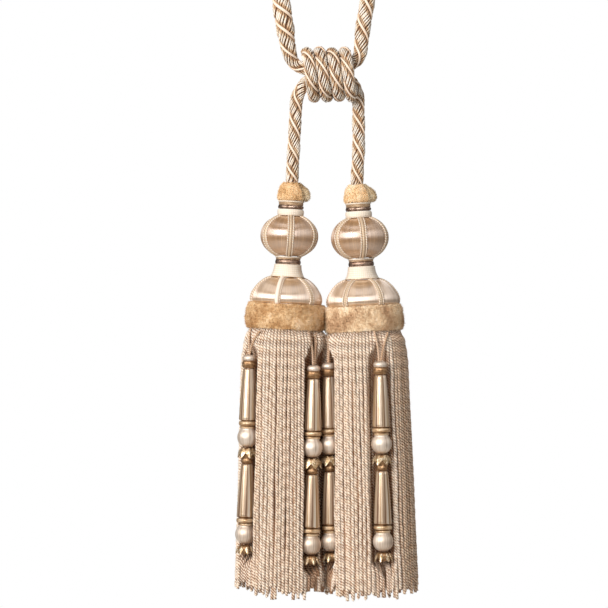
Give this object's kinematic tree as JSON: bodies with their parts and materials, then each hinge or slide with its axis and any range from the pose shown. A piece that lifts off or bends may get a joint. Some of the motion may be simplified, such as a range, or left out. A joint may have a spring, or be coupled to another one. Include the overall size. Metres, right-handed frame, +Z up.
{
  "type": "curtain tieback",
  "caption": "Double curtain tieback: a twisted rope loop bound in a barrel knot, ending in tassels with a ball, dome, velvet band, long twisted skirt and beaded pendants.",
  "frame": {"origin": "inside the top of the rope's loop, where the hook on the wall bears", "axes": "+X to the right as the tieback is seen, +Y away from the viewer towards the wall, +Z up"},
  "size_m": [0.1326, 0.0721, 0.6844],
  "materials": {
    "rope": "twisted rope of cream, tan and brown yarns, matt with a slight sheen",
    "velvet": "golden tan velvet with a short pile",
    "bronze": "dark bronze gimp wound flat, glossy",
    "cream": "cream cord and woven braid, soft sheen",
    "satin": "champagne floss laid lengthwise over a mould, satin gloss",
    "strand": "twisted beige strands, soft sheen",
    "gimp": "stiff gimp petals in gold and brown"
  },
  "bodies": {
    "root": {"rope": "rope", "knot_wrap": "rope", "cap_left": "velvet", "neck_band_left": "bronze", "neck_disc_left": "cream", "ball_left": "satin", "waist_band_left": "bronze", "collar_left": "cream", "dome_left": "satin", "ruche_left": "velvet", "skirt_left": "strand", "cap_right": "velvet", "neck_band_right": "bronze", "neck_disc_right": "cream", "ball_right": "satin", "waist_band_right": "bronze", "collar_right": "cream", "dome_right": "satin", "ruche_right": "velvet", "skirt_right": "strand", "p1_hanger": "strand", "p1_cup": "cream", "p1_drop_a": "satin", "p1_petals_a": "gimp", "p1_drop_b": "satin", "p1_petals_b": "gimp", "p2_hanger": "strand", "p2_cup": "cream", "p2_drop_a": "satin", "p2_petals_a": "gimp", "p2_drop_b": "satin", "p2_petals_b": "gimp", "p3_hanger": "strand", "p3_cup": "cream", "p3_drop_a": "satin", "p3_petals_a": "gimp", "p3_drop_b": "satin", "p3_petals_b": "gimp", "p4_hanger": "strand", "p4_cup": "cream", "p4_drop_a": "satin", "p4_petals_a": "gimp", "p4_drop_b": "satin", "p4_petals_b": "gimp", "p5_hanger": "strand", "p5_cup": "cream", "p5_drop_a": "satin", "p5_petals_a": "gimp", "p5_drop_b": "satin", "p5_petals_b": "gimp", "p6_hanger": "strand", "p6_cup": "cream", "p6_drop_a": "satin", "p6_petals_a": "gimp", "p6_drop_b": "satin", "p6_petals_b": "gimp"}
  },
  "joints": []
}
